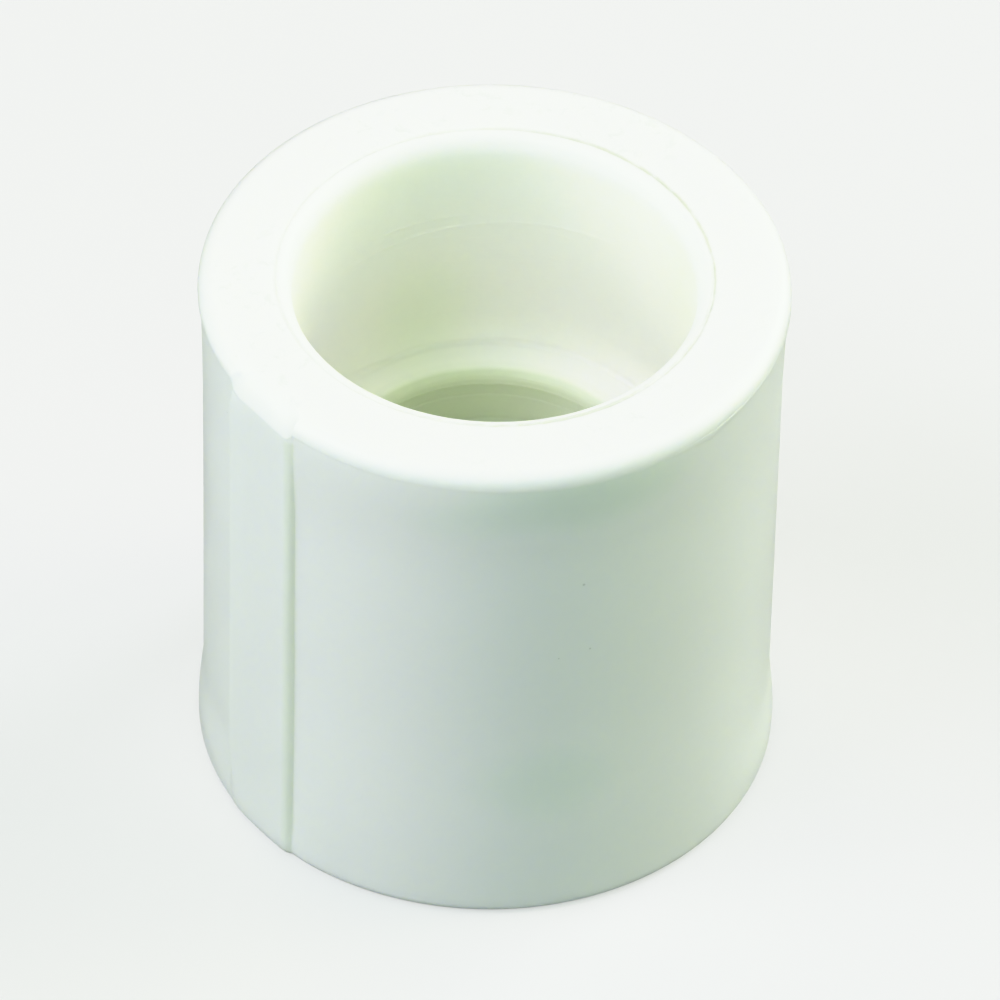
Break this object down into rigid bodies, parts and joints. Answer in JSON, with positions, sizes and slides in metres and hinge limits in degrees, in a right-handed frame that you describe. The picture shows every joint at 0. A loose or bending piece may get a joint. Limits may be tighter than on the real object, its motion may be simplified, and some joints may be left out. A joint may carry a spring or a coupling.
{
  "type": "reducing coupling",
  "caption": "Straight white plastic pipe coupling with a plain round socket in each end, the upper one wider, and a narrower waterway between them.",
  "frame": {"origin": "centre of the small end's face, on the waterway's axis", "axes": "+Z along the waterway from the small socket to the large socket; -Y is the side seen in front, and the flat pad stands between -Y and -X"},
  "size_m": [0.0352, 0.0352, 0.036],
  "materials": {
    "white_polypropylene": "satin, slightly translucent moulded polypropylene"
  },
  "bodies": {
    "root": {"coupling_body": "white_polypropylene"}
  },
  "joints": []
}
